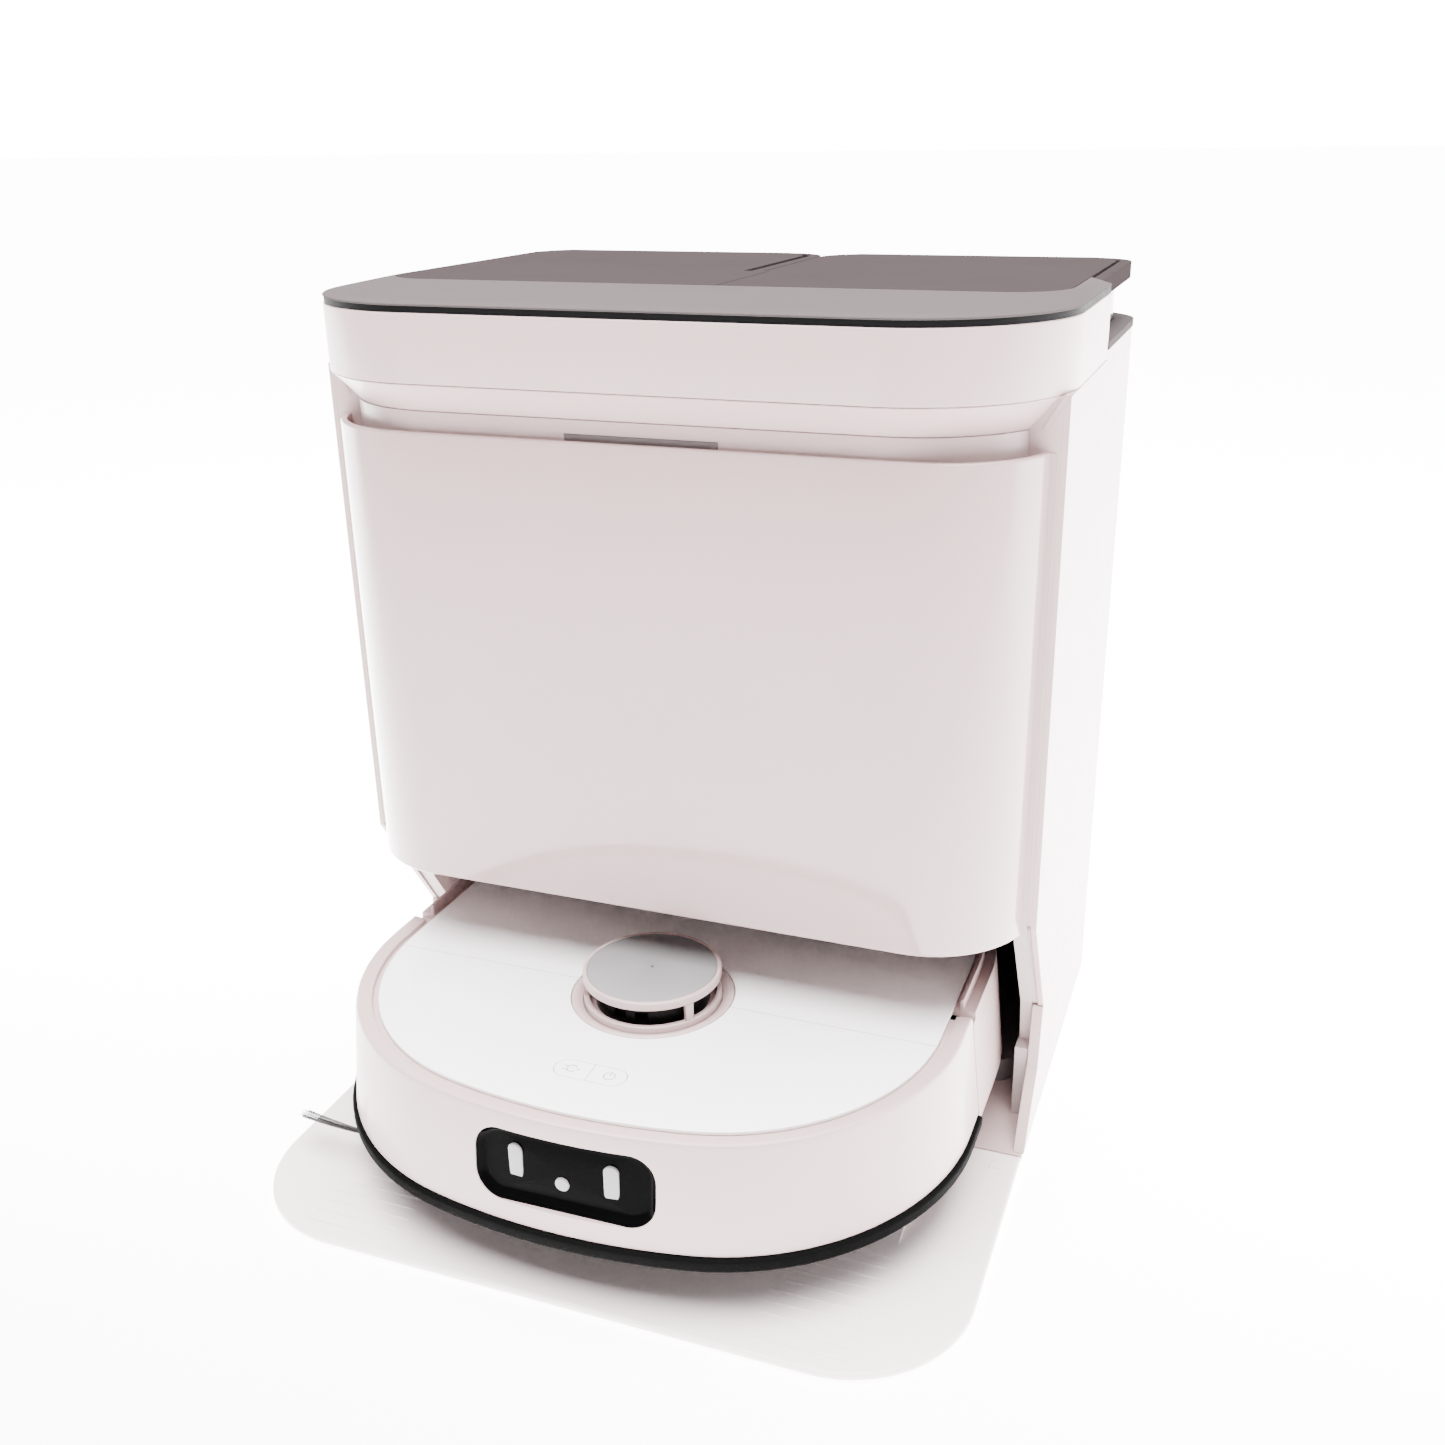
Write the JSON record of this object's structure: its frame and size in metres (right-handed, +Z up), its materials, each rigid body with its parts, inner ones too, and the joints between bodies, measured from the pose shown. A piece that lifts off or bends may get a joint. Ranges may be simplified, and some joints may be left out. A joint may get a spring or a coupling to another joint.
{
  "type": "robot vacuum with base station",
  "caption": "White robot vacuum and mop parked on the ramp of its tall base station, which empties its dust, washes its pads and holds two lift-out water tanks under grey lids.",
  "frame": {"origin": "on the floor, under the middle of the base station", "axes": "+Z up, the front of the station and of the robot faces -Y, +X is to the right as one stands in front and looks along +Y"},
  "size_m": [0.395, 0.4405, 0.465],
  "materials": {
    "white_plastic": "moulded white, satin gloss",
    "white_matte": "fine grained white",
    "panel_gloss": "high gloss white",
    "robot_gloss": "white with a clear skin",
    "cover_grey": "fine spark-eroded grey",
    "grey_plastic": "fine grained grey",
    "dark_plastic": "moulded dark grey",
    "black_plastic": "black",
    "black_gloss": "polished infrared-clear black",
    "smoked_clear": "smoked transparent",
    "lens_grey": "diffusing lens",
    "silver_disc": "fine brushed",
    "steel": "zinc plated",
    "contact_metal": "gold plated",
    "feet_rubber": "soft",
    "strip_rubber": "soft",
    "wheel_tyre": "ribbed",
    "brush_rubber": "soft fins",
    "bristle_grey": "nylon bristle",
    "mop_fabric": "loop pile",
    "bag_cloth": "non-woven bag",
    "board_green": "solder resist"
  },
  "bodies": {
    "station": {"base_ramp": "white_plastic", "dock_base": "white_plastic", "base_skirt": "white_plastic", "front_frame": "white_plastic", "rubber_feet": "feet_rubber", "wash_tray": "grey_plastic", "housing_shell": "white_plastic", "back_panel": "white_matte", "back_screws": "steel", "mains_inlet": "black_plastic", "cavity_liner": "black_plastic", "cavity_side_walls": "grey_plastic", "charge_block": "dark_plastic", "dock_contacts": "contact_metal", "upper_fascia": "white_plastic", "grip_bar": "grey_plastic", "top_cover": "cover_grey", "cover_trim": "black_plastic", "tank_deck": "cover_grey", "dust_bay": "dark_plastic", "dust_bag": "bag_cloth", "suction_motor": "dark_plastic", "water_pump": "dark_plastic", "drying_fan": "dark_plastic", "control_board": "board_green", "power_supply": "dark_plastic"},
    "robot": {"robot_chassis": "dark_plastic", "rear_shell": "white_plastic", "front_top_cover": "robot_gloss", "turret_housing": "white_plastic", "turret_cap": "silver_disc", "dustbin": "smoked_clear", "battery": "dark_plastic", "robot_fan": "dark_plastic", "robot_contacts": "contact_metal"},
    "panel": {"front_panel": "panel_gloss"},
    "clean_tank_unit": {"clean_tank": "smoked_clear"},
    "clean_lid": {"clean_tank_lid": "cover_grey"},
    "clean_handle": {"clean_tank_handle": "cover_grey"},
    "dirty_tank_unit": {"dirty_tank": "smoked_clear"},
    "dirty_lid": {"dirty_tank_lid": "cover_grey"},
    "dirty_handle": {"dirty_tank_handle": "cover_grey"},
    "bumper_unit": {"bumper": "white_plastic", "bumper_strip": "strip_rubber", "sensor_window": "black_gloss", "sensor_lenses": "lens_grey"},
    "rear_cover": {"rear_top_cover": "robot_gloss"},
    "laser": {"laser_rotor": "black_gloss"},
    "spot_button": {"spot_key": "robot_gloss"},
    "power_button": {"power_key": "robot_gloss"},
    "left_suspension": {"left_wheel_arm": "dark_plastic"},
    "right_suspension": {"right_wheel_arm": "dark_plastic"},
    "left_drive": {"left_wheel": "wheel_tyre"},
    "right_drive": {"right_wheel": "wheel_tyre"},
    "caster_swivel": {"caster_fork": "dark_plastic"},
    "caster_roller": {"caster_wheel": "wheel_tyre"},
    "roller_brush": {"main_brush": "brush_rubber"},
    "sweeper": {"side_brush": "bristle_grey"},
    "left_mop": {"left_mop_pad": "mop_fabric"},
    "right_mop": {"right_mop_pad": "mop_fabric"}
  },
  "joints": [
    {"name": "dock_drive", "type": "slide", "parent": "station", "child": "robot", "axis": [0, -1, 0], "range_m": [0, 0.45]},
    {"name": "panel_lift_off", "type": "slide", "parent": "station", "child": "panel", "axis": [0, -1, 0], "range_m": [0, 0.06]},
    {"name": "clean_tank_lift", "type": "slide", "parent": "station", "child": "clean_tank_unit", "axis": [0, 0, 1], "range_m": [0, 0.262]},
    {"name": "clean_lid_hinge", "type": "hinge", "parent": "clean_tank_unit", "child": "clean_lid", "pos_m": [-0.094, 0.2023, 0.4616], "axis": [-1, 0, 0], "range_deg": [0, 75]},
    {"name": "clean_handle_hinge", "type": "hinge", "parent": "clean_tank_unit", "child": "clean_handle", "pos_m": [-0.094, 0.082, 0.4595], "axis": [1, 0, 0], "range_deg": [0, 95]},
    {"name": "dirty_tank_lift", "type": "slide", "parent": "station", "child": "dirty_tank_unit", "axis": [0, 0, 1], "range_m": [0, 0.262]},
    {"name": "dirty_lid_hinge", "type": "hinge", "parent": "dirty_tank_unit", "child": "dirty_lid", "pos_m": [0.099, 0.2023, 0.4616], "axis": [-1, 0, 0], "range_deg": [0, 75]},
    {"name": "dirty_handle_hinge", "type": "hinge", "parent": "dirty_tank_unit", "child": "dirty_handle", "pos_m": [0.099, 0.082, 0.4595], "axis": [1, 0, 0], "range_deg": [0, 95]},
    {"name": "bumper_press", "type": "slide", "parent": "robot", "child": "bumper_unit", "axis": [0, 1, 0], "range_m": [0, 0.003], "stiffness_N_per_m": 900},
    {"name": "rear_cover_lift_off", "type": "slide", "parent": "robot", "child": "rear_cover", "axis": [0, 0, 1], "range_m": [0, 0.03]},
    {"name": "laser_spin", "type": "hinge", "parent": "robot", "child": "laser", "pos_m": [0, -0.087, 0.105], "axis": [0, 0, 1], "continuous": true},
    {"name": "spot_button_press", "type": "slide", "parent": "robot", "child": "spot_button", "axis": [0, 0, -1], "range_m": [0, 0.0008], "stiffness_N_per_m": 400},
    {"name": "power_button_press", "type": "slide", "parent": "robot", "child": "power_button", "axis": [0, 0, -1], "range_m": [0, 0.0008], "stiffness_N_per_m": 400},
    {"name": "left_suspension_swing", "type": "hinge", "parent": "robot", "child": "left_suspension", "pos_m": [-0.1005, 0.008, 0.064], "axis": [-1, 0, 0], "range_deg": [0, 6], "stiffness_Nm_per_rad": 4},
    {"name": "right_suspension_swing", "type": "hinge", "parent": "robot", "child": "right_suspension", "pos_m": [0.1005, 0.008, 0.064], "axis": [-1, 0, 0], "range_deg": [0, 6], "stiffness_Nm_per_rad": 4},
    {"name": "left_wheel_spin", "type": "hinge", "parent": "left_suspension", "child": "left_drive", "pos_m": [-0.118, -0.041, 0.0552], "axis": [1, 0, 0], "continuous": true},
    {"name": "right_wheel_spin", "type": "hinge", "parent": "right_suspension", "child": "right_drive", "pos_m": [0.118, -0.041, 0.0552], "axis": [1, 0, 0], "continuous": true},
    {"name": "caster_swivel_turn", "type": "hinge", "parent": "robot", "child": "caster_swivel", "pos_m": [0, -0.186, 0.04], "axis": [0, 0, 1], "continuous": true},
    {"name": "caster_roll", "type": "hinge", "parent": "caster_swivel", "child": "caster_roller", "pos_m": [0, -0.186, 0.0322], "axis": [1, 0, 0], "continuous": true},
    {"name": "roller_brush_spin", "type": "hinge", "parent": "robot", "child": "roller_brush", "pos_m": [0, -0.066, 0.037], "axis": [1, 0, 0], "continuous": true},
    {"name": "sweeper_spin", "type": "hinge", "parent": "robot", "child": "sweeper", "pos_m": [-0.118, -0.16, 0.028], "axis": [0, 0, 1], "continuous": true},
    {"name": "left_mop_spin", "type": "hinge", "parent": "robot", "child": "left_mop", "pos_m": [-0.07, 0.038, 0.026], "axis": [0, 0, 1], "continuous": true},
    {"name": "right_mop_spin", "type": "hinge", "parent": "robot", "child": "right_mop", "pos_m": [0.07, 0.038, 0.026], "axis": [0, 0, 1], "continuous": true}
  ],
  "couplings": [
    {"joint": "right_mop_spin", "follows": "left_mop_spin", "ratio": -1}
  ]
}
